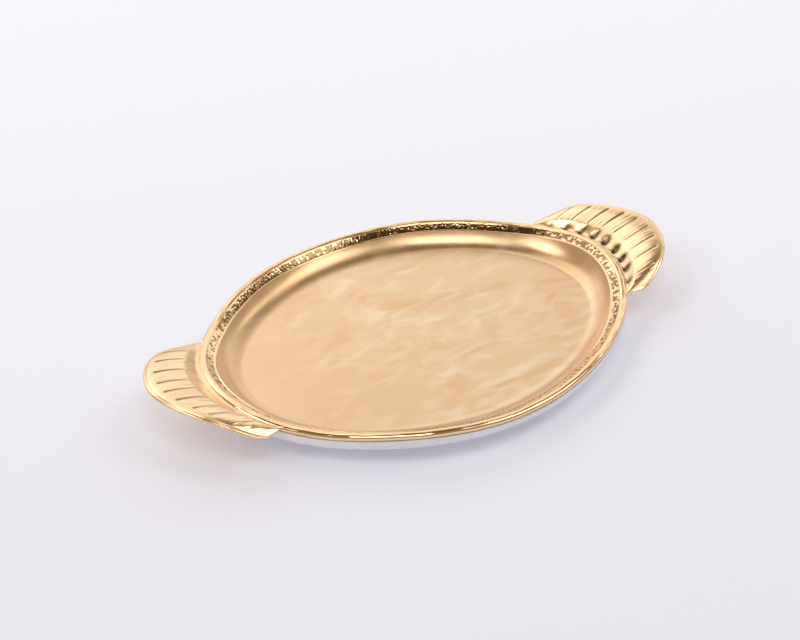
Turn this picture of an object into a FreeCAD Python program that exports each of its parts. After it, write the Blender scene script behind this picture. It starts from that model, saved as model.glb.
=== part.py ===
"""Oval serving tray in gilded glazed ceramic, with two fluted shell handles.

Lengths are millimetres.  The long axis is X, +Z is up, and the origin is on
the resting plane, under the middle of the tray.
"""
import FreeCAD
import Part
import math
import os

# ---- driving dimensions -------------------------------------------------
WELL_HALF_LENGTH = 150.0      # long half axis of the well's edge
WELL_HALF_WIDTH = 113.5       # short half axis of the well's edge
FLOOR_TOP = 12.0              # height of the well floor above the table
WELL_DEPTH = 10.5             # from the well's edge down to the floor
COVE_WIDTH = 18.0             # plan width of the cove between edge and floor
SKIN = 1.0                    # thickness of the gilded layers on the body

BAND_LIP = 1.2                # narrow smooth lip between well and hammered band
BAND_WIDTH = 6.3              # from the well's edge to the foot of the rim bead
BAND_RISE = 3.3               # the band climbs outwards by this much
BEAD_WIDTH = 5.6              # plan width of the rounded rim bead
BEAD_CROWN = 1.1              # height of the bead's top above its foot

FOOT_HEIGHT = 5.2             # the foot ring lifts the body off the table
FOOT_OFFSET = -30.0           # outer side of the foot ring, from the well's edge
FOOT_WIDTH = 7.0
FOOT_TAPER = 1.2
BELLY_WIDTH = 36.0            # plan width of the rounded underside
BELLY_FULLNESS = 2.4          # exponent of the underside's superellipse

HANDLE_CENTRE = 153.5         # centre of the handle's outline on the long axis
HANDLE_SHIFT = 0.7            # the outline sits this far to one side of that axis
HANDLE_REACH = 52.5           # from that centre out to the tip
HANDLE_LEAN = 7.6             # the outline leans to the other side
HANDLE_HALF_WIDTH = 60.5
HANDLE_ROUNDNESS = 1.7        # exponent of the handle's outline
HANDLE_CREST = 6.0            # the lobes' fronts rise this far above the rim
HANDLE_LIP_RISE = 13.9        # the outer lip stands this far above the rim
HANDLE_VALLEY = 1.0           # groove between the rim bead and the lobes
HANDLE_ROOT = 5.4             # thickness at the rim
HANDLE_LIP = 2.8              # thickness at the outer lip
HANDLE_ROOT_SPAN = 0.955      # the root is this much narrower than the outline
LOBES = 10
FLUTE_DEPTH = 2.0

# The rim isn't a plain ellipse: it draws in at its shoulders and rises at its
# ends.  Each pair is an amplitude and how many times it repeats round the rim.
# The plan wave dies out towards the foot, which is a plain oval.
PLAN_WAVES = ((2.1, 4), (0.2, 6))
RISE_WAVES = ((2.35, 2), (0.9, 4), (1.1, 6))
WAVE_REACH = 30.0             # inward from the well's edge

# ---- derived ------------------------------------------------------------
EDGE_Z = FLOOR_TOP + WELL_DEPTH
BEAD_FOOT_Z = EDGE_Z + BAND_RISE
RIM_OFFSET = BAND_WIDTH + BEAD_WIDTH
UNDER_BEAD_Z = EDGE_Z + 0.1
BEAD_SIDE_Z = EDGE_Z + 2.1
RAIL_STEPS = 48
CURVE_STEPS = 8


def waves(angle, table):
    return sum(size * math.cos(times * angle) for size, times in table)


def place(angle, offset, height, follow):
    """Point at an offset along the normal of the well's edge.

    follow says how much of the rim's rise this height takes part in.
    """
    x = WELL_HALF_LENGTH * math.cos(angle)
    y = WELL_HALF_WIDTH * math.sin(angle)
    nx = x / WELL_HALF_LENGTH ** 2
    ny = y / WELL_HALF_WIDTH ** 2
    share = min(max(1 + offset / WAVE_REACH, 0.0), 1.0)
    out = (offset + share * waves(angle, PLAN_WAVES)) / math.hypot(nx, ny)
    return FreeCAD.Vector(x + nx * out, y + ny * out, height + follow * waves(angle, RISE_WAVES))


def surface(rows):
    sheet = Part.BSplineSurface()
    sheet.interpolate(rows)
    return sheet


def solid_from(faces):
    """Sew faces into one closed solid, with its faces turned outwards."""
    shell = Part.makeShell(faces)
    shell.sewShape(0.01)
    return Part.makeSolid(shell)


def rail(point):
    """Closed curve of one point of the section, carried round the tray."""
    turns = [i / RAIL_STEPS for i in range(RAIL_STEPS + 1)]
    curve = Part.BSplineCurve()
    curve.interpolate(Points=[place(2 * math.pi * t, *point) for t in turns[:-1]],
                      PeriodicFlag=True, Parameters=turns)
    return curve


def strip_face(strip):
    """Face that carries a strip of the section round the tray.

    A straight strip is ruled between its two rails.  A curved one is skinned:
    the rails share their knots, so smooth curves through their poles, in
    order, are the rows of the surface's own poles.
    """
    rails = [rail(point) for point in strip]
    if len(rails) == 2:
        return Part.makeRuledSurface(rails[0].toShape(), rails[1].toShape())
    steps = [i / (len(rails) - 1) for i in range(len(rails))]
    rows = []
    for poles in zip(*(curve.getPoles() for curve in rails)):
        across = Part.BSplineCurve()
        across.interpolate(Points=list(poles), Parameters=steps)
        rows.append(across.getPoles())
    sheet = Part.BSplineSurface()
    sheet.buildFromPolesMultsKnots(rows, rails[0].getMultiplicities(), across.getMultiplicities(),
                                   rails[0].getKnots(), across.getKnots(), True, False, 3, 3)
    return sheet.toShape()


def flat_ring(outer, inner):
    """Truly plane face between two level rails."""
    wires = [Part.Wire(rail(point).toShape()) for point in (outer, inner)]
    return Part.makeFace(wires, "Part::FaceMakerBullseye")


def ring(*strips):
    """Closed ring: its section is the strips, end to end."""
    return solid_from([strip_face(strip) for strip in strips])


def disc(top_middle, bottom_middle, *strips):
    """Solid that also covers the middle, closed by two flat ovals."""
    ovals = [Part.Face(Part.Wire(rail(point).toShape())) for point in (top_middle, bottom_middle)]
    return solid_from([strip_face(strip) for strip in strips] + ovals)


# ---- the section, as strips of (offset, height, follow) ------------------
def cove(lower):
    """Parabola from the floor up to the well's edge, lowered by a skin."""
    strip = []
    for i in range(CURVE_STEPS + 1):
        inward = 1 - i / CURVE_STEPS
        slope = math.atan(2 * WELL_DEPTH / COVE_WIDTH * (1 - inward))
        drop = WELL_DEPTH * (1 - (1 - inward) ** 2)
        offset = -COVE_WIDTH * inward + lower * math.sin(slope)
        strip.append((offset, EDGE_Z - drop - lower * math.cos(slope), (1 - inward) ** 2))
    return strip


def belly():
    """Superellipse from the flat underside out and up to the rim bead."""
    strip = []
    low = FOOT_HEIGHT
    rise = UNDER_BEAD_Z - low
    for i in range(CURVE_STEPS + 1):
        turn = math.pi / 2 * i / CURVE_STEPS
        across = math.sin(turn) ** (2 / BELLY_FULLNESS)
        up = 1 - math.cos(turn) ** (2 / BELLY_FULLNESS)
        offset = RIM_OFFSET - BELLY_WIDTH * (1 - across)
        strip.append((offset, low + rise * up, up))
    return strip


WELL_FACE = cove(0.0)
WELL_BACK = cove(SKIN)
EDGE_TOP = (0.0, EDGE_Z, 1.0)
EDGE_BACK = WELL_BACK[-1]
LIP_TOP = (BAND_LIP, EDGE_Z + 0.2, 1.0)
BEAD_FOOT = (BAND_WIDTH, BEAD_FOOT_Z, 1.0)
BAND_BACK = (BAND_WIDTH, BEAD_FOOT_Z - SKIN, 1.0)
BEAD_KEEL = (BAND_WIDTH, UNDER_BEAD_Z, 1.0)
BEAD_UNDER = (RIM_OFFSET, UNDER_BEAD_Z, 1.0)


def bead_round():
    """Half oval over the top of the bead, then down round its outer side."""
    middle = BAND_WIDTH + BEAD_WIDTH / 2
    strip = []
    for i in range(CURVE_STEPS + 1):
        turn = math.pi * i / CURVE_STEPS
        rise = BEAD_CROWN if turn < math.pi / 2 else BEAD_FOOT_Z + BEAD_CROWN - BEAD_SIDE_Z
        base = BEAD_FOOT_Z if turn < math.pi / 2 else BEAD_SIDE_Z
        strip.append((middle - BEAD_WIDTH / 2 * math.cos(turn), base + rise * math.sin(turn), 1.0))
    return strip


def foot_ring():
    """Low tapered ring with plane faces under the body and on the table."""
    outer = FOOT_OFFSET
    inner = FOOT_OFFSET - FOOT_WIDTH
    top_outer = (outer, FOOT_HEIGHT, 0.0)
    top_inner = (inner, FOOT_HEIGHT, 0.0)
    low_outer = (outer - FOOT_TAPER, 0.0, 0.0)
    low_inner = (inner + FOOT_TAPER, 0.0, 0.0)
    return solid_from([strip_face((top_outer, low_outer)), strip_face((low_inner, top_inner)),
                       flat_ring(top_outer, top_inner), flat_ring(low_outer, low_inner)])


def well_lining():
    """Satin gilding of the well, from the floor up to its edge."""
    return disc(WELL_FACE[0], WELL_BACK[0], WELL_FACE, WELL_BACK, (EDGE_TOP, EDGE_BACK))


def hammered_band():
    """Sloping band between the well and the bead, with a smooth lip inside."""
    return ring((EDGE_TOP, LIP_TOP), (LIP_TOP, BEAD_FOOT), (BEAD_FOOT, BAND_BACK),
                (BAND_BACK, EDGE_BACK), (EDGE_BACK, EDGE_TOP))


def rim_bead():
    """Rounded polished edge; the body's rim closes it from below."""
    over = bead_round()
    return ring(over, (over[-1], BEAD_UNDER), (BEAD_UNDER, BEAD_KEEL),
                (BEAD_KEEL, BAND_BACK), (BAND_BACK, BEAD_FOOT))


def dish_body():
    """White glazed bowl of the tray, under the gilding and on the foot ring."""
    return disc(WELL_BACK[0], belly()[0], WELL_BACK, (EDGE_BACK, BAND_BACK),
                (BAND_BACK, BEAD_KEEL), (BEAD_KEEL, BEAD_UNDER), belly())


# ---- handles --------------------------------------------------------------
def smooth(value):
    value = min(max(value, 0.0), 1.0)
    return value * value * (3 - 2 * value)


def handle_point(side, across, outward, underneath):
    """Point of the shell: across runs -1 to 1 over the fan, outward 0 to 1.

    The outline is a leaning superellipse and the rays run out to it from the
    rim's side.  The top falls into a valley, climbs the lobes' fronts and goes
    on as a dome to the lip; flutes divide it into lobes and fade at the lip.
    """
    turn = across * math.pi / 2
    power = 2 / HANDLE_ROUNDNESS
    along = math.copysign(abs(math.sin(turn)) ** power, turn)
    edge_x = HANDLE_CENTRE + HANDLE_REACH * abs(math.cos(turn)) ** power
    edge_x -= HANDLE_LEAN * along * (1 - along ** 2)
    edge_y = HANDLE_SHIFT + HANDLE_HALF_WIDTH * along
    angle = math.asin(HANDLE_ROOT_SPAN * edge_y / (WELL_HALF_WIDTH + RIM_OFFSET))
    root = place(angle, RIM_OFFSET, BEAD_SIDE_Z, 1.0)
    x = root.x + (edge_x - root.x) * outward
    y = root.y + (edge_y - root.y) * outward
    swell = 1 - abs(along) ** 7
    front = smooth((outward - 0.05) / 0.30)
    dome = math.sin(math.pi / 2 * min(max((outward - 0.22) / 0.78, 0.0), 1.0))
    lift = (HANDLE_CREST + HANDLE_VALLEY) * front - HANDLE_VALLEY
    z = root.z + (lift + (HANDLE_LIP_RISE - HANDLE_CREST) * dome) * swell
    if underneath:
        z -= HANDLE_ROOT + (HANDLE_LIP - HANDLE_ROOT) * outward ** 2
    else:
        lobe = (along + 1) / 2 * LOBES
        groove = (0.5 + 0.5 * math.cos(2 * math.pi * lobe)) ** 2
        fade = smooth((outward - 0.15) / 0.15) * smooth((0.92 - outward) / 0.3)
        inside = smooth((1 - abs(across)) * 8)
        z -= FLUTE_DEPTH * groove * fade * inside
    return FreeCAD.Vector(side * x, side * y, z)


def handle(side):
    """One fluted shell, its root against the rim; the two are half a turn apart."""
    across = [math.sin(math.pi / 2 * (2 * i / 80 - 1)) for i in range(81)]
    outward = [i / 16 for i in range(17)]
    sheets = [surface([[handle_point(side, a, o, under) for o in outward] for a in across])
              for under in (False, True)]
    faces = [sheet.toShape() for sheet in sheets]
    low_across, high_across, low_out, high_out = sheets[0].bounds()
    walls = [[s.uIso(end).toShape() for s in sheets] for end in (low_across, high_across)]
    walls += [[s.vIso(end).toShape() for s in sheets] for end in (low_out, high_out)]
    return solid_from(faces + [Part.makeRuledSurface(*edges) for edges in walls])


def main():
    os.makedirs("parts", exist_ok=True)
    nodes = {
        "dish_body": dish_body(),
        "foot_ring": foot_ring(),
        "well_lining": well_lining(),
        "hammered_band": hammered_band(),
        "rim_bead": rim_bead(),
        "handle_left": handle(-1),
        "handle_right": handle(1),
    }
    for name, shape in nodes.items():
        box = shape.BoundBox
        print(f"{name}: {shape.ShapeType}, valid {shape.isValid()}, {shape.Volume / 1000:.1f} cm3,"
              f" x {box.XMin:.1f}..{box.XMax:.1f} y {box.YMin:.1f}..{box.YMax:.1f}"
              f" z {box.ZMin:.1f}..{box.ZMax:.1f}")
        shape.exportStep(f"parts/{name}.step")


main()
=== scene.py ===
import bpy
import bmesh
import math
import numpy as np
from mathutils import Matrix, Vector


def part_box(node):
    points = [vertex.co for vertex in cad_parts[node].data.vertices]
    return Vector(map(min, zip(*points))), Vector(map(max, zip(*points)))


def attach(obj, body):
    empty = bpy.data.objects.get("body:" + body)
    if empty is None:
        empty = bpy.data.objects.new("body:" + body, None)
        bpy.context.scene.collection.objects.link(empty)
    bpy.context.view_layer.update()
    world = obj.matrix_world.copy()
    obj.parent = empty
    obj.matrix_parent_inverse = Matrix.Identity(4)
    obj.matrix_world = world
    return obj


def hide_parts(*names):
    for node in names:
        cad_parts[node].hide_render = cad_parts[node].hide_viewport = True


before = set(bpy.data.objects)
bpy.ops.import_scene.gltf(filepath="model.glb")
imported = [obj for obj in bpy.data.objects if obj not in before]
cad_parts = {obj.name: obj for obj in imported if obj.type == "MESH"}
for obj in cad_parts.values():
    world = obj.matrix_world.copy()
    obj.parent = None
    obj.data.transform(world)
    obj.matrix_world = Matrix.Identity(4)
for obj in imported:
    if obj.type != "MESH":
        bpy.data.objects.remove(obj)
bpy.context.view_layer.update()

# Sizes in metres. The rim isn't a plain oval: it draws in at its shoulders and
# rises at its ends, as waves of an amplitude and a count round the rim.
oval = {
    "rimWidth": 0.0119,        # from the well's edge to the outside of the bead
    "planWaves": ((0.0021, 4), (0.0002, 6)),
    "riseWaves": ((0.00235, 2), (0.0009, 4), (0.0011, 6)),
    "waveReach": 0.030,        # the plan wave dies out this far inside the edge
    "wellDepth": 0.0105,
    "skin": 0.001,             # thickness of the gilded layers
    "coveWidth": 0.018,
    "covePower": 2.4,          # a higher power starts flatter and ends steeper
    "coveRows": 28,
}


def waves(angle, table):
    return sum(size * np.cos(times * angle) for size, times in table)


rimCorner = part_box("rim_bead")[1]
halfLength = rimCorner.x - oval["rimWidth"] - float(waves(0.0, oval["planWaves"]))
halfWidth = rimCorner.y - oval["rimWidth"] - float(waves(math.pi / 2, oval["planWaves"]))
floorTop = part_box("well_lining")[0].z + oval["skin"]
edgeTop = floorTop + oval["wellDepth"]
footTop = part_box("foot_ring")[1].z


# A point of the section stands off the oval of the well's edge along that
# oval's own normal; follow is its share of the rim's rise and fall.
def aroundOval(angle, offset, height, follow):
    x = halfLength * np.cos(angle)
    y = halfWidth * np.sin(angle)
    nx = x / halfLength ** 2
    ny = y / halfWidth ** 2
    share = np.clip(1 + offset / oval["waveReach"], 0, 1)
    out = (offset + share * waves(angle, oval["planWaves"])) / np.hypot(nx, ny)
    z = height + follow * waves(angle, oval["riseWaves"])
    return np.stack([x + nx * out, y + ny * out, z], -1)


def smoothStep(value):
    value = np.clip(value, 0, 1)
    return value * value * (3 - 2 * value)


# 0 up to start, 1 from start + length on.
def rising(value, start, length):
    return smoothStep((value - start) / length)


# 1 up to end - length, 0 from end on.
def falling(value, end, length):
    return smoothStep((end - value) / length)


def addToScene(name, data):
    thing = bpy.data.objects.new(name, data)
    bpy.context.scene.collection.objects.link(thing)
    return thing


# A mesh from a grid of points, columns by rows. Either way round can be joined
# to its start. Points that fall together, as at a pole, are merged, and the
# faces are turned so that the enclosed volume is positive. Edges sharper than
# an angle in degrees aren't smoothed; hollow, a painted-shade mask for the material, is kept.
def gridMesh(name, points, sharp, joinColumns=True, joinRows=True, hollow=None):
    columns, rows = points.shape[:2]
    index = np.arange(columns * rows).reshape(columns, rows)
    a = index if joinColumns else index[:-1]
    b = np.roll(index, -1, 0) if joinColumns else index[1:]
    if joinRows:
        quads = np.stack([a, b, np.roll(b, -1, 1), np.roll(a, -1, 1)], -1)
    else:
        quads = np.stack([a[:, :-1], b[:, :-1], b[:, 1:], a[:, 1:]], -1)
    quads = quads.reshape(-1, 4)
    flat = points.reshape(-1, 3)
    p, q, r, s = (flat[quads[:, i]] for i in range(4))
    volume = (np.cross(p, q) * r).sum() + (np.cross(p, r) * s).sum()
    if volume < 0:
        quads = quads[:, ::-1]
    mesh = bpy.data.meshes.new(name)
    mesh.from_pydata(flat.tolist(), [], quads.tolist())
    if hollow is not None:
        layer = mesh.attributes.new("hollow", "FLOAT", "POINT")
        layer.data.foreach_set("value", hollow.astype(np.float32).ravel())
    work = bmesh.new()
    work.from_mesh(mesh)
    bmesh.ops.remove_doubles(work, verts=work.verts, dist=2e-6)
    bmesh.ops.dissolve_degenerate(work, edges=work.edges, dist=1e-7)
    work.to_mesh(mesh)
    work.free()
    mesh.shade_smooth()
    mesh.set_sharp_from_angle(angle=math.radians(sharp))
    print(f"{name}: {len(mesh.polygons)} faces")
    return addToScene(name, mesh)


def place(piece, node, material):
    piece.data.materials.append(material)
    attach(piece, "root")
    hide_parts(node)


# A section is a list of stretches, each (offset, height, follow) as arrays.
def joinStretches(*stretches):
    return [np.concatenate([s[i] for s in stretches]) for i in range(3)]


def straight(start, end, count):
    t = np.linspace(0, 1, count, endpoint=False)
    return [start[i] + (end[i] - start[i]) * t for i in range(3)]


def anglesRound(columns):
    return np.linspace(0, 2 * math.pi, columns, endpoint=False)[:, None]


def ringGrid(section, columns):
    return aroundOval(anglesRound(columns), *[np.asarray(part)[None, :] for part in section])


# A flat disc's rows: the oval of its rim shrunk to nothing at the middle.
def discRows(ring, count, height):
    t = np.linspace(0, 1, count, endpoint=False)[None, :, None]
    rows = ring[:, None, :] * t
    rows[..., 2] = height
    return rows


# The cove climbs from the flat floor to the well's edge as a power of the
# distance; lower is how far behind that face the line lies.
def cove(lower):
    climb = np.linspace(0, 1, oval["coveRows"])
    power = oval["covePower"]
    slope = np.arctan(power * oval["wellDepth"] / oval["coveWidth"] * climb ** (power - 1))
    offset = -oval["coveWidth"] * (1 - climb) + lower * np.sin(slope)
    height = edgeTop - oval["wellDepth"] * (1 - climb ** power) - lower * np.cos(slope)
    return [offset, height, climb ** power]


# A wire is an output socket. Operators on wires add Math nodes.
class Wire:
    def __init__(self, graph, socket):
        self.graph, self.socket = graph, socket

    def maths(self, operation, *values):
        inputs = dict(enumerate((self,) + values))
        return self.graph.node("ShaderNodeMath", {"operation": operation}, inputs)

    def __add__(self, other):
        return self.maths("ADD", other)

    __radd__ = __add__

    def __mul__(self, other):
        return self.maths("MULTIPLY", other)

    __rmul__ = __mul__

    def __sub__(self, other):
        return self.maths("SUBTRACT", other)

    def __rsub__(self, other):
        return self.graph.node("ShaderNodeMath", {"operation": "SUBTRACT"}, {0: other, 1: self})


class Graph:
    def __init__(self, tree):
        self.tree = tree
        tree.nodes.clear()

    # Adds any node: its settings first, then the values or wires of its inputs.
    def node(self, kind, settings=None, inputs=None, output=0):
        made = self.tree.nodes.new(kind)
        for key, value in (settings or {}).items():
            if key == "stops":
                ramp = made.color_ramp
                while len(ramp.elements) < len(value):
                    ramp.elements.new(0.5)
                for element, (position, colour) in zip(ramp.elements, value):
                    element.position = position
                    element.color = (*colour, 1)
            else:
                setattr(made, key, value)
        for key, value in (inputs or {}).items():
            if isinstance(value, Wire):
                self.tree.links.new(value.socket, made.inputs[key])
            else:
                made.inputs[key].default_value = value
        return Wire(self, made.outputs[output]) if made.outputs else None

    # Where a point of the surface lies, in its object's metres.
    def where(self):
        return self.node("ShaderNodeTexCoord", None, None, 3)

    def axis(self, vector, which):
        return self.node("ShaderNodeSeparateXYZ", None, {0: vector}, which)

    def reach(self, vector, azimuth):
        return self.node("ShaderNodeVectorMath", {"operation": "DOT_PRODUCT"},
                         {0: vector, 1: tuple(direction(azimuth, 0))}, 1)

    def noise(self, vector, scale, detail, roughness=0.5, distortion=0.0):
        return self.node("ShaderNodeTexNoise", None, {
            "Vector": vector, "Scale": scale, "Detail": detail,
            "Roughness": roughness, "Distortion": distortion})

    # Distance from the nearest of many scattered points.
    def scatter(self, vector, scale):
        return self.node("ShaderNodeTexVoronoi", None, {"Vector": vector, "Scale": scale})

    def blend(self, factor, first, second):
        return self.node("ShaderNodeMix", {"data_type": "RGBA"}, {0: factor, 6: first, 7: second}, 2)

    def ramp(self, value, stops):
        return self.node("ShaderNodeValToRGB", {"stops": stops}, {0: value})

    # 0 at low and 1 at high, smooth between; low may be the larger.
    def steps(self, value, low, high):
        return self.node("ShaderNodeMapRange", {"interpolation_type": "SMOOTHSTEP"},
                         {0: value, 1: low, 2: high})

    def bump(self, height, strength, distance):
        return self.node("ShaderNodeBump", None, {
            "Height": height, "Strength": strength, "Distance": distance})

    def surface(self, inputs):
        shader = self.node("ShaderNodeBsdfPrincipled", None, inputs)
        self.node("ShaderNodeOutputMaterial", None, {"Surface": shader})


def newMaterial(name):
    material = bpy.data.materials.new(name)
    material.use_nodes = True
    return material, Graph(material.node_tree)


satin = {
    "pale": (0.92, 0.685, 0.45, 1),
    "tan": (0.82, 0.545, 0.305, 1),
    "orange": (0.775, 0.45, 0.215, 1),
    "deep": (0.72, 0.445, 0.225, 1),
    "cove": (0.84, 0.545, 0.28, 1),
    "bend": (0.60, 0.35, 0.13, 1),
    "pit": (0.36, 0.20, 0.09, 1),
    "roughness": (0.27, 0.34),     # of tan, then of pale
    "coatRoughness": 0.28,
    "turn": 0.12,                  # the strokes run this far off the long axis, in radians
    "squeeze": 2.1,                # and are this much narrower than long
    # noises, as scale, detail, roughness and distortion
    "clouds": (16, 3, 0.5, 0.8),
    "strokes": (36, 2, 0.5, 0.7),
    "warmth": (15, 3, 0.5, 0.5),
    "strokeShare": 0.45,
    "paleness": (0.43, 0.63),
    "warm": (0.46, 0.62),
    # the floor deepens from the middle towards one end
    "endwise": (0.0, -0.13),
    "endShare": 0.8,
    # heights above the floor where a tone starts and is full
    "climb": (0.0004, 0.0060),
    "climbShare": 0.75,
    # painted shade: the cove is darkened at its bend, between these heights
    "bendStart": (0.0001, 0.0012),
    "bendEnd": (0.0025, 0.0060),
    "bendShare": 0.4,
    "pitScale": 60.0,
    "pitSize": (0.034, 0.022),
    "pitPatches": (0.56, 0.60),
}


# Satin lustre: soft strokes along the tray, in pale, tan and orange, with
# roughness that follows them. The floor is deeper in tone towards one end, the
# cove has its own tone with painted shade at its bend, and there are a few pits.
def satinGold():
    material, g = newMaterial("satinGold")
    where = g.where()
    along = g.node("ShaderNodeMapping", None, {
        "Vector": where, "Rotation": (0, 0, satin["turn"]), "Scale": (1.0, satin["squeeze"], 1.0)})
    clouds = g.noise(along, *satin["clouds"])
    strokes = g.noise(along, *satin["strokes"])
    mixed = clouds * (1 - satin["strokeShare"]) + strokes * satin["strokeShare"]
    paleness = g.steps(mixed, *satin["paleness"])
    colour = g.blend(paleness, satin["tan"], satin["pale"])
    warmth = g.steps(g.noise(along, *satin["warmth"]), *satin["warm"])
    colour = g.blend(warmth * (0.9 - paleness * 0.5), colour, satin["orange"])
    endwise = g.steps(g.axis(where, 0), *satin["endwise"])
    colour = g.blend(endwise * satin["endShare"], colour, satin["deep"])

    height = g.axis(where, 2) - floorTop
    climb = g.steps(height, *satin["climb"])
    colour = g.blend(climb * satin["climbShare"], colour, satin["cove"])
    # painted shade at the cove's bend
    bend = g.steps(height, *satin["bendStart"]) - g.steps(height, *satin["bendEnd"])
    colour = g.blend(bend * satin["bendShare"], colour, satin["bend"])

    patches = g.steps(g.noise(where, 31, 1), *satin["pitPatches"])
    pit = g.steps(g.scatter(where, satin["pitScale"]), *satin["pitSize"]) * patches
    colour = g.blend(pit * 0.8, colour, satin["pit"])
    tanRough, paleRough = satin["roughness"]
    g.surface({
        "Base Color": colour, "Metallic": 1.0,
        "Roughness": tanRough + (paleRough - tanRough) * paleness,
        "Coat Weight": 1.0, "Coat Roughness": satin["coatRoughness"]})
    return material


bright = {
    "gold": (0.98, 0.69, 0.405, 1),
    "deep": (0.90, 0.60, 0.33, 1),
    "drift": (30, 3, 0.5, 0.3),
    "deepShare": 0.45,
    "roughness": (0.045, 0.10),
    "rippleScale": 150,
    "rippleDepth": 0.0004,
}


# Bright gold: a mirror with a slow unevenness. Where the piece's hollow mask
# says so, painted shade darkens it towards the given shade colour by up to tint.
def brightGold(name, waviness, softness=0.0, tint=0.0, shade=None):
    material, g = newMaterial(name)
    where = g.where()
    drift = g.steps(g.noise(where, *bright["drift"]), 0.35, 0.70)
    colour = g.blend(drift, bright["gold"], bright["deep"])
    colour = g.blend(1 - bright["deepShare"], colour, bright["gold"])
    # painted shade: the hollow mask darkens the gold towards the given shade colour
    if shade:
        hollow = g.node("ShaderNodeAttribute", {"attribute_name": "hollow"}, None, 2)
        colour = g.blend(hollow * tint, colour, shade)
    low, high = bright["roughness"]
    haze = g.noise(where, 120, 4, 0.6)
    ripple = g.noise(where, bright["rippleScale"], 2)
    g.surface({
        "Base Color": colour, "Metallic": 1.0,
        "Roughness": low + softness + (high - low) * haze,
        "Normal": g.bump(ripple, waviness, bright["rippleDepth"])})
    return material


glaze = {
    "white": (0.86, 0.855, 0.875, 1),
    "cool": (0.80, 0.795, 0.83, 1),
    "bisque": (0.70, 0.66, 0.61, 1),
    "pinhole": (0.45, 0.40, 0.36, 1),
    "pinholeScale": 140.0,
    "pinholeSize": (0.05, 0.03),
    "bareHeight": (0.0015, 0.0009),    # wiped bare from here down to here
    "bareWaver": 0.0006,
    "roughness": (0.12, 0.72),         # of the glaze, then of the bare clay
    "index": 1.52,
    "peelScale": 220,
    "peelDepth": 0.0003,
}


# White glaze, thinner and cooler in places, with pinholes; the foot's resting
# edge is wiped bare.
def whiteGlaze():
    material, g = newMaterial("whiteGlaze")
    where = g.where()
    pool = g.steps(g.noise(where, 18, 3, 0.5, 0.3), 0.35, 0.7)
    colour = g.blend(pool, glaze["white"], glaze["cool"])
    patches = g.steps(g.noise(where, 40, 1), 0.60, 0.66)
    pinhole = g.steps(g.scatter(where, glaze["pinholeScale"]), *glaze["pinholeSize"]) * patches
    colour = g.blend(pinhole * 0.6, colour, glaze["pinhole"])
    wavering = g.axis(where, 2) + g.noise(where, 60, 2) * glaze["bareWaver"]
    bare = g.steps(wavering, *glaze["bareHeight"])
    colour = g.blend(bare, colour, glaze["bisque"])
    glossy, dry = glaze["roughness"]
    peel = g.noise(where, glaze["peelScale"], 2)
    g.surface({
        "Base Color": colour, "Roughness": glossy + bare * (dry - glossy), "IOR": glaze["index"],
        "Normal": g.bump(peel, 0.08, glaze["peelDepth"])})
    return material


body = {
    "columns": 360,
    "bellyRows": 40,
    "lidRows": 4,
    "baseRows": 10,
    "middleRows": 8,
    "bellyWidth": 0.036,
    "bellyFullness": 2.4,      # 2 is an ellipse, more is fuller
    "underBead": 0.0001,       # the glaze ends this far above the well's edge
}


# The underside is a superellipse from the flat base out and up to the gold, and
# the top lies against the back of the gilded well.
def makeBody(material):
    t = np.linspace(0, math.pi / 2, body["bellyRows"])
    power = 2 / body["bellyFullness"]
    across, up = np.sin(t) ** power, 1 - np.cos(t) ** power
    rimWidth, top = oval["rimWidth"], edgeTop + body["underBead"]
    belly = [rimWidth - body["bellyWidth"] * (1 - across), footTop + (top - footTop) * up, up]
    hollow = [part[::-1] for part in cove(oval["skin"])]
    lid = straight((rimWidth, top, 1.0), [part[0] for part in hollow], body["lidRows"])
    ring = ringGrid(joinStretches(belly, [part[1:] for part in lid], hollow), body["columns"])
    base = discRows(ring[:, 0], body["baseRows"], footTop)
    middle = discRows(ring[:, -1], body["middleRows"], floorTop - oval["skin"])[:, ::-1]
    piece = gridMesh("dishBody", np.concatenate([base, ring, middle], 1), 50, joinRows=False)
    place(piece, "dish_body", material)


foot = {
    "columns": 360,
    "arcRows": 7,
    "offset": -0.030,          # of its outer side, from the well's edge
    "width": 0.007,
    "taper": 0.0012,
    "round": 0.0011,
    "fillet": 0.0022,
}


# The foot is a low ring: tapered sides, rounded at the resting edge, and a
# flare where it runs into the body.
def makeFoot(material):
    outer, inner = foot["offset"], foot["offset"] - foot["width"]
    taper, r, f = foot["taper"], foot["round"], foot["fillet"]
    q = np.linspace(0, math.pi / 2, foot["arcRows"])
    level = np.zeros(foot["arcRows"])
    flareOut = [outer + f * (1 - np.sin(q)), footTop - f * (1 - np.cos(q)), level]
    lowOut = [outer - taper - r + r * np.cos(q), r - r * np.sin(q), level]
    lowIn = [inner + taper + r - r * np.sin(q), r - r * np.cos(q), level]
    flareIn = [inner - f * (1 - np.cos(q)), footTop - f * (1 - np.sin(q)), level]
    section = joinStretches(flareOut, lowOut, lowIn, flareIn)
    piece = gridMesh("footRing", ringGrid(section, foot["columns"]), 60)
    place(piece, "foot_ring", material)


well = {
    "columns": 360,
    "floorRows": 40,
    "underRows": 6,
    "sag": 0.0004,             # the floor dips a little at the middle
}


# Floor and cove: a shallow dish, then the cove up to the edge. The back lies a
# skin's thickness behind them and is flat under the floor.
def makeWell(material):
    skin = oval["skin"]
    face, back = ringGrid(cove(0.0), well["columns"]), ringGrid(cove(skin), well["columns"])
    middle = discRows(face[:, 0], well["floorRows"], floorTop)
    t = np.linspace(0, 1, well["floorRows"], endpoint=False)
    middle[..., 2] -= well["sag"] * (1 - t ** 2)
    under = discRows(back[:, 0], well["underRows"], floorTop - skin)[:, ::-1]
    grid = np.concatenate([middle, face, back[:, ::-1], under], 1)
    piece = gridMesh("wellLining", grid, 50, joinRows=False)
    place(piece, "well_lining", material)


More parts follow.
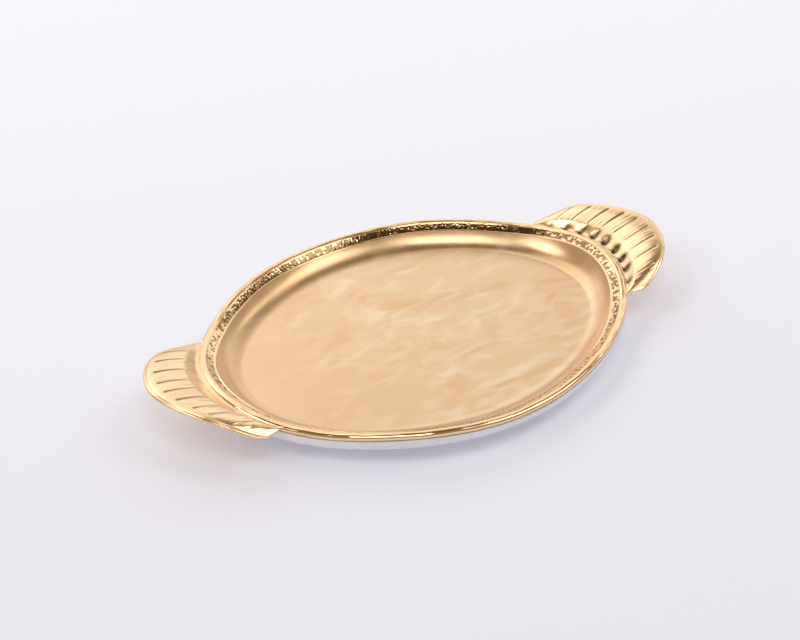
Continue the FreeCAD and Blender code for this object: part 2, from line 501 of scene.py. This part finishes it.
band = {
    "columns": 2800,
    "lipRows": 5,
    "rows": 22,
    "keelRows": 4,
    "lip": 0.0012,             # width of the smooth lip round the well
    "lipHeight": 0.0003,
    "width": 0.0063,
    "rise": 0.0033,
    "start": 0.0001,           # the slope starts this far above the well's edge
    "curve": 1.1,              # its height goes as this power of the way up
    "keel": 0.001,             # the underside lies this far down
    "pitch": 0.0017,           # from one hammer mark to the next
    "cellRows": 8,
    "firstCell": 2,            # the slope starts at this row of cells
    "spread": (0.1, 0.9),      # where a mark's middle may lie in its cell
    "depth": 0.00016,
    "depths": (0.3, 1.0),      # shares of that depth, from mark to mark
    "middleLevel": 0.45,       # share of its depth that a mark's middle lies below the slope
    "lean": 0.22,
    "fadeIn": 0.12,            # shares of the slope over which the marks fade
    "fadeOut": 0.08,
    # painted shade: the dark insides of the marks stand in for dark reflections, more of them round one
    # side of the rim
    "shadedShare": 0.45,         # share of the marks that are dark inside,
    "shadedMore": 0.38,          # more by this much round the angle shadedSide
    "shadedSide": 0.95,
    "shadedEdge": 0.95,          # a dark mark reaches this far from its middle, in cells,
    "shadedFade": 0.40,          # and fades over this much
    "seed": 5,
    "waviness": 0.05,
    # painted shade inside the dark marks: up to tint of the way to the shade colour
    "tint": 0.9,
    "shade": (0.22, 0.12, 0.045, 1),
}


# Hammer marks: each mark owns the places nearest to it. The surface there is
# a shallow bowl with a tilt of its own, so ridges stand where two marks meet.
# Some marks are painted dark inside as painted shade, more of them round one side.
def hammerMarks(along, across, length):
    rng = np.random.default_rng(band["seed"])
    pitch, tall = band["pitch"], band["cellRows"]
    wide = int(round(length / pitch))
    centre = rng.uniform(*band["spread"], (wide, tall, 2))
    depth = rng.uniform(*band["depths"], (wide, tall))
    lean = rng.normal(0, band["lean"], (wide, tall, 2))
    turn = 2 * math.pi * np.arange(wide)[:, None] / wide
    # painted shade: more marks are dark round one side of the rim
    shadedShare = band["shadedShare"] + band["shadedMore"] * np.cos(turn - band["shadedSide"])
    shaded = rng.uniform(0, 1, (wide, tall)) < shadedShare
    u = along / length * wide
    v = across / pitch + band["firstCell"]
    cellU, cellV = np.floor(u).astype(int), np.floor(v).astype(int)
    nearest = np.full(u.shape, np.inf)
    height, dark = np.zeros(u.shape), np.zeros(u.shape)
    for du in (-1, 0, 1):
        for dv in (-1, 0, 1):
            i, j = (cellU + du) % wide, np.clip(cellV + dv, 0, tall - 1)
            offU = cellU + du + centre[i, j, 0] - u
            offV = cellV + dv + centre[i, j, 1] - v
            away = np.hypot(offU, offV)
            closer = away < nearest
            bowl = depth[i, j] * (np.minimum(away, 1.0) ** 2 - band["middleLevel"])
            tilted = bowl + lean[i, j, 0] * offU + lean[i, j, 1] * offV
            height = np.where(closer, tilted, height)
            inside = shaded[i, j] * falling(away, band["shadedEdge"], band["shadedFade"])
            dark = np.where(closer, inside, dark)
            nearest = np.where(closer, away, nearest)
    return height, dark


# The band: a smooth lip round the well, then a slope up to the bead, pushed in
# and out square to itself by the hammer marks.
def makeBand(material):
    lipRows, rows = band["lipRows"], band["rows"]
    lip, width, rise = band["lip"], band["width"], band["rise"]
    t = np.linspace(0, 1, lipRows, endpoint=False)
    smooth = [lip * t, edgeTop + band["lipHeight"] * np.sin(t * math.pi), np.ones(lipRows)]
    t = np.linspace(0, 1, rows)
    slope = [lip + (width - lip) * t, edgeTop + band["start"] + rise * t ** band["curve"], np.ones(rows)]
    low = edgeTop - band["keel"]
    keel = straight((width, low + rise, 1.0), (0.0, low, 1.0), band["keelRows"])
    grid = ringGrid(joinStretches(smooth, slope, keel), band["columns"])

    middle = grid[:, lipRows + rows // 2]
    step = np.linalg.norm(np.roll(middle, -1, 0) - middle, axis=1)
    along = np.concatenate([[0], np.cumsum(step)[:-1]])[:, None]
    across = (width - lip) * t[None, :]
    marks, dark = hammerMarks(*np.broadcast_arrays(along, across), step.sum())
    fade = rising(t, 0, band["fadeIn"]) * falling(t, 1, band["fadeOut"])
    tilt = math.atan2(rise, width - lip)
    outward = middle[:, None, :2] / np.linalg.norm(middle[:, None, :2], axis=-1, keepdims=True)
    push = (band["depth"] * marks * fade)[..., None]
    hammered = slice(lipRows, lipRows + rows)
    grid[:, hammered, :2] -= push * math.sin(tilt) * outward
    grid[:, hammered, 2:] += push * math.cos(tilt)
    # painted shade inside the dark marks, kept for the material
    hollow = np.zeros(grid.shape[:2])
    hollow[:, hammered] = dark * fade
    piece = gridMesh("hammeredBand", grid, 80, hollow=hollow)
    place(piece, "hammered_band", material)


bead = {
    "columns": 900,
    "overRows": 25,
    "rollRows": 6,
    "keelRows": 4,
    "crown": 0.0011,
    "side": 0.0021,            # its outer side stands this far above the well's edge
    "rollIn": 0.0016,          # it comes back in this far underneath
    "wobble": 0.00010,         # hand-finished unevenness, of waves as size, count and start
    "wobbleWaves": ((1.0, 17, 1.3), (0.7, 29, 0.4), (0.5, 53, 0.0)),
    "waviness": 0.10,
}


# The bead is half an oval over the top, higher inside than outside, then
# rolls under to meet the white glaze.
def makeBead(material):
    overRows, rollRows = bead["overRows"], bead["rollRows"]
    rimWidth, inside = oval["rimWidth"], band["width"]
    width = rimWidth - inside
    beadFoot, sideZ = edgeTop + band["rise"], edgeTop + bead["side"]
    low = edgeTop + body["underBead"]
    turn = np.linspace(0, math.pi, overRows)
    inner = turn < math.pi / 2
    rise = np.where(inner, bead["crown"], beadFoot + bead["crown"] - sideZ)
    over = [inside + width / 2 - width / 2 * np.cos(turn),
            np.where(inner, beadFoot, sideZ) + rise * np.sin(turn), np.ones(overRows)]
    roll = np.linspace(0, math.pi / 2, rollRows + 1)[1:]
    under = [rimWidth - bead["rollIn"] * (1 - np.cos(roll)),
             sideZ - (sideZ - low) * np.sin(roll), np.ones(rollRows)]
    keel = straight((inside, low, 1.0), (inside, beadFoot, 1.0), bead["keelRows"])
    grid = ringGrid(joinStretches(over, under, keel), bead["columns"])
    angle = anglesRound(bead["columns"])
    wave = sum(size * np.sin(angle * count + start) for size, count, start in bead["wobbleWaves"])
    grid[:, :overRows + rollRows, 2] += bead["wobble"] * wave
    place(gridMesh("rimBead", grid, 50), "rim_bead", material)


# The way outward is 0 at the rim and 1 at the lip. A pair such as pocketFrom is
# where something starts or ends on that way, and the length of its ramp.
handle = {
    "columns": 700,
    "topRows": 96,
    "lipRows": 8,
    "underRows": 14,
    "centre": 0.1535,          # centre of the outline on the long axis
    "shift": 0.0007,           # the outline leans a little to one side
    "lean": 0.0076,
    "halfWidth": 0.0597,
    "roundness": 1.70,         # 2 is an ellipse, less is slimmer
    "rootSpan": 0.955,         # width of the root as a share of the fan's
    "overlap": 0.0022,         # the root starts this far in, on the bead's crown
    "rootHeight": 0.0041,      # above the well's edge
    "valley": 0.0008,          # depth of the groove along the root
    "crest": 0.0028,           # the front rises this far above the root
    "frontFrom": (0.05, 0.30),
    "lipRise": 0.0119,
    "domeFrom": 0.12,
    "endPower": 7,             # a higher power keeps the height nearer to the fan's ends
    "root": 0.0070,            # thickness at the rim, then at the lip
    "lip": 0.0028,
    "closePower": 14,          # a higher power keeps the thickness nearer to the fan's ends
    "roll": 0.0008,            # the margin turns down this far
    "rollFrom": (0.95, 0.05),
    "lobes": 10,
    "lobeDrift": 0.10,         # the flutes stray by this share of a lobe
    "endFade": 12,             # the flutes fade over one part in this many at each end
    # The pockets and lines below are also painted dark, as painted shade.
    "pocketAt": (-1.0, -0.5, 0.0, 0.5, 1.0),    # places across the fan of the pockets' depths
    "pocketDepth": 0.0015,
    "pocketFrom": (0.05, 0.08),
    "pocketTo": (0.30, 0.14),
    "pocketShade": 2.2,        # a pocket this much shallower is still fully dark
    "lineDepth": 0.00045,
    "lineFrom": (0.22, 0.20),
    "lineTo": (0.88, 0.05),
    "linePower": (16, 8),      # the power at the rim, then the power at the lip
    "lineStart": 0.45,         # share of the depth at the rim
    "softDepth": 0.00012,
    "softFrom": (0.20, 0.20),
    "softTo": (0.92, 0.10),
    "grain": 0.00012,
    "grainCells": (76, 3),
    "waviness": 0.10,
    "softness": 0.15,
    # painted shade in the pockets and lines: up to tint of the way to the shade colour
    "tint": 0.92,
    "shade": (0.10, 0.055, 0.022, 1),
}


# Smooth random values on a coarse lattice, read at any place.
def lattice(rng, u, v, columns, rows):
    table = rng.uniform(-1, 1, (columns + 1, rows + 1))
    i = np.clip(np.floor(u).astype(int), 0, columns - 1)
    j = np.clip(np.floor(v).astype(int), 0, rows - 1)
    p, q = smoothStep(u - i), smoothStep(v - j)
    low = table[i, j] * (1 - p) + table[i + 1, j] * p
    high = table[i, j + 1] * (1 - p) + table[i + 1, j + 1] * p
    return low * (1 - q) + high * q


# The plain shell above its root: down into the groove, up a steep front, then a
# dome that levels off at the lip, and the margin turned down. ends flattens it.
def shellPoints(root, edgeX, edgeY, outward, ends):
    front = rising(outward, *handle["frontFrom"])
    lift = (handle["crest"] + handle["valley"]) * front - handle["valley"]
    beyond = np.clip((outward - handle["domeFrom"]) / (1 - handle["domeFrom"]), 0, 1)
    dome = (handle["lipRise"] - handle["crest"]) * np.sin(math.pi / 2 * beyond)
    drop = handle["roll"] * rising(outward, *handle["rollFrom"]) ** 2
    rootX, rootY, rootZ = root[..., 0], root[..., 1], root[..., 2]
    return np.stack([rootX + (edgeX - rootX) * outward, rootY + (edgeY - rootY) * outward,
                     rootZ + (lift + dome) * ends - drop], -1)


# The relief of the shell, and its painted shade. Between two lobes lie a pocket
# near the rim, a line that widens outwards and a soft hollow; a grain covers
# all. The pockets and lines are painted dark as the shade that falls in them.
def flutes(across, outward, seed, depths):
    rng = np.random.default_rng(seed)
    lobes = handle["lobes"]
    lobe = (across + 1) / 2 * lobes
    drift = rng.uniform(-handle["lobeDrift"], handle["lobeDrift"], lobes + 1)
    lobe = lobe + np.interp(lobe, np.arange(lobes + 1), drift)
    away = np.abs(2 * (lobe - np.floor(lobe)) - 1)      # 0 on a lobe, 1 in a flute
    ends = smoothStep((1 - np.abs(across)) * handle["endFade"])

    pocket = rising(outward, *handle["pocketFrom"]) * falling(outward, *handle["pocketTo"])
    pocket = away ** 2 * pocket * ends * np.interp(across, handle["pocketAt"], depths)
    rimPower, lipPower = handle["linePower"]
    line = rising(outward, *handle["lineFrom"]) * falling(outward, *handle["lineTo"])
    line = line * away ** (rimPower + (lipPower - rimPower) * outward) * ends
    line = line * (handle["lineStart"] + (1 - handle["lineStart"]) * outward)
    beyond = rising(outward, *handle["softFrom"]) * falling(outward, *handle["softTo"]) * ends
    soft = away ** 2 * beyond
    columns, rows = handle["grainCells"]
    grain = lattice(rng, (across + 1) / 2 * columns, outward * rows + 0 * across, columns, rows)
    relief = handle["grain"] * grain * beyond - handle["pocketDepth"] * pocket
    relief = relief - handle["lineDepth"] * line - handle["softDepth"] * soft
    return relief, np.clip(handle["pocketShade"] * pocket + line, 0, 1)


# The fan's edge is half a superellipse that leans to one side, and its root
# follows the rim. side is 1 or -1, which turns the handle half round.
def makeHandle(name, node, side, seed, depths, material):
    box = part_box(node)
    reach = max(abs(box[0].x), abs(box[1].x)) - handle["centre"] - handle["lip"] / 2
    turn = np.linspace(-math.pi / 2, math.pi / 2, handle["columns"])[:, None]
    power = 2 / handle["roundness"]
    across = np.sign(turn) * np.abs(np.sin(turn)) ** power
    edgeX = handle["centre"] + reach * np.abs(np.cos(turn)) ** power
    edgeX = edgeX - handle["lean"] * across * (1 - across ** 2)
    edgeY = handle["shift"] + handle["halfWidth"] * across
    rimWidth = oval["rimWidth"]
    angle = np.arcsin(handle["rootSpan"] * edgeY / (halfWidth + rimWidth))
    root = aroundOval(angle, rimWidth - handle["overlap"], edgeTop + handle["rootHeight"], 1.0)

    ends = 1 - np.abs(across) ** handle["endPower"]
    outward = np.linspace(0, 1, handle["topRows"])[None, :]
    top = shellPoints(root, edgeX, edgeY, outward, ends)
    relief, dark = flutes(across, outward, seed, depths)
    top[..., 2] += relief

    # thickness, closing to nothing at the two ends of the fan
    close = np.sqrt(np.clip(1 - np.abs(across) ** handle["closePower"], 0, 1))
    half = handle["lip"] * close / 2
    spin = np.linspace(0, math.pi, handle["lipRows"] + 2)[None, 1:-1]
    edge = top[:, -1:, :]
    bulge = half * np.sin(spin)
    lip = np.stack([edge[..., 0] + bulge * np.cos(turn), edge[..., 1] + bulge * np.sin(turn),
                    edge[..., 2] - half * (1 - np.cos(spin))], -1)
    inward = np.linspace(1, 0, handle["underRows"])[None, :]
    under = shellPoints(root, edgeX, edgeY, inward, ends)
    under[..., 2] -= (handle["root"] + (handle["lip"] - handle["root"]) * inward ** 2) * close

    grid = np.concatenate([top, lip, under], 1)
    grid[..., :2] *= side
    # painted shade in the pockets and flute lines, kept for the material
    hollow = np.zeros(grid.shape[:2])
    hollow[:, :handle["topRows"]] = dark
    piece = gridMesh(name, grid, 60, joinColumns=False, hollow=hollow)
    place(piece, node, material)


stage = {
    "cameraAzimuth": 32.93,    # degrees from straight behind the near long side
    "cameraElevation": 34.98,
    "cameraDistance": 1.1934,
    "sensor": 36,
    "lens": 75.45,
    "shift": (-0.0233, 0.0020),
    # painted light: the paper is lighter towards the far side, as the light falls
    "paperLitFar": (0.875, 0.885, 0.965, 1),
    "paperDimNear": (0.70, 0.705, 0.785, 1),
    "paperAzimuth": 67.07,     # the paper is lighter this way, from -0.7 m to 0.9 m
    "paperSpan": (-0.7, 0.9),
    "paperSize": 14.0,
    # painted light: the paper glows with its own colour, which lifts it and lightens the shadow under
    # the tray
    "paperGlow": 0.20,         # the paper gives off a little of its own colour
    "lightColour": (0.965, 0.98, 1.0),
    "lightDistance": 4.5,
    # name, compass angle from +X, elevation, width, height, power
    "softboxes": (
        ("softboxBehind", -116, 66, 2.0, 1.8, 38.0),
        ("softboxLeft", 174, 47, 1.9, 1.8, 35.0),
        ("softboxRight", -26, 54, 2.2, 2.0, 32.0),
        ("softboxFar", 96, 51, 3.8, 3.0, 38.0),
        ("softboxEnd", 0, 33, 0.9, 0.9, 4.6),
    ),
}


def direction(azimuth, elevation):
    a, e = math.radians(azimuth), math.radians(elevation)
    return np.array([math.cos(a) * math.cos(e), math.sin(a) * math.cos(e), math.sin(e)])


# Puts a thing at a distance from the tray, looking at it.
def aim(thing, azimuth, elevation, distance):
    target = np.array([0, 0, edgeTop])
    spot = target + direction(azimuth, elevation) * distance
    thing.location = spot
    look = Vector(target) - Vector(spot)
    thing.rotation_euler = look.to_track_quat("-Z", "Y").to_euler()


def makeCamera():
    data = bpy.data.cameras.new("camera")
    data.lens = stage["lens"]
    data.sensor_width = stage["sensor"]
    data.shift_x, data.shift_y = stage["shift"]
    camera = addToScene("camera", data)
    aim(camera, -90 - stage["cameraAzimuth"], stage["cameraElevation"], stage["cameraDistance"])
    bpy.context.scene.camera = camera


def makeLights():
    for name, azimuth, elevation, width, tall, power in stage["softboxes"]:
        light = bpy.data.lights.new(name, "AREA")
        light.shape = "RECTANGLE"
        light.size, light.size_y = width, tall
        light.energy = power
        light.color = stage["lightColour"]
        aim(addToScene(name, light), azimuth, elevation, stage["lightDistance"])


# The paper that the tray stands on, with painted light: lighter on the far side, and glowing a little.
def makePaper():
    half = stage["paperSize"] / 2
    mesh = bpy.data.meshes.new("floor")
    corners = [(-half, -half, 0), (half, -half, 0), (half, half, 0), (-half, half, 0)]
    mesh.from_pydata(corners, [], [(0, 1, 2, 3)])
    material, g = newMaterial("paper")
    # painted light across the paper
    far = g.steps(g.reach(g.where(), stage["paperAzimuth"]), *stage["paperSpan"])
    colour = g.blend(far, stage["paperDimNear"], stage["paperLitFar"])
    # painted light: a little glow of the paper's own colour
    g.surface({
        "Base Color": colour, "Roughness": 0.9, "Specular IOR Level": 0.1,
        "Emission Color": colour, "Emission Strength": stage["paperGlow"]})
    mesh.materials.append(material)
    floor = addToScene("floor", mesh)


# Colours of the room, each with its height: the sine of the angle above level.
room = {
    "wallAzimuth": 65,         # the middle of the white walls
    "wallEdge": (0.42, 0.66),  # cosine of the angle from there, dim side and white side
    "wall": ((0.0, (0.50, 0.46, 0.42)), (0.10, (0.60, 0.56, 0.52)), (0.26, (1.12, 1.12, 1.15)),
             (0.57, (1.12, 1.12, 1.15)), (0.76, (0.36, 0.28, 0.19)), (1.0, (0.16, 0.12, 0.08))),
    "dim": ((0.0, (0.60, 0.56, 0.53)), (0.25, (0.48, 0.42, 0.35)),
            (0.6, (0.36, 0.30, 0.22)), (1.0, (0.16, 0.12, 0.08))),
}


# The room: white walls on the far side, dim and warm on the near side, and a
# dark warm ceiling.
def makeRoom():
    world = bpy.data.worlds.new("room")
    bpy.context.scene.world = world
    world.use_nodes = True
    g = Graph(world.node_tree)
    where = g.node("ShaderNodeTexCoord")
    up = g.axis(where, 2)
    side = g.steps(g.reach(where, room["wallAzimuth"]), *room["wallEdge"])
    colour = g.blend(side, g.ramp(up, room["dim"]), g.ramp(up, room["wall"]))
    sky = g.node("ShaderNodeBackground", None, {"Color": colour, "Strength": 1.0})
    g.node("ShaderNodeOutputWorld", None, {"Surface": sky})
    view = bpy.context.scene.view_settings
    view.view_transform = "Standard"
    view.look = "None"


makeCamera()
makeLights()
makePaper()
makeRoom()
print("stage ready")
white = whiteGlaze()
makeBody(white)
makeFoot(white)
makeWell(satinGold())
makeBand(brightGold("hammeredGold", band["waviness"], 0.0, band["tint"], band["shade"]))
makeBead(brightGold("beadGold", bead["waviness"]))
flutedGold = brightGold("flutedGold", handle["waviness"], handle["softness"],
                        handle["tint"], handle["shade"])
# the right handle's deeper pockets are painted darker too, as painted shade
makeHandle("handleLeft", "handle_left", -1, 3, (0.1, 0.1, 0.1, 0.1, 0.1), flutedGold)
makeHandle("handleRight", "handle_right", 1, 8, (0.4, 0.9, 1.0, 0.7, 0.1), flutedGold)
print("tray ready")
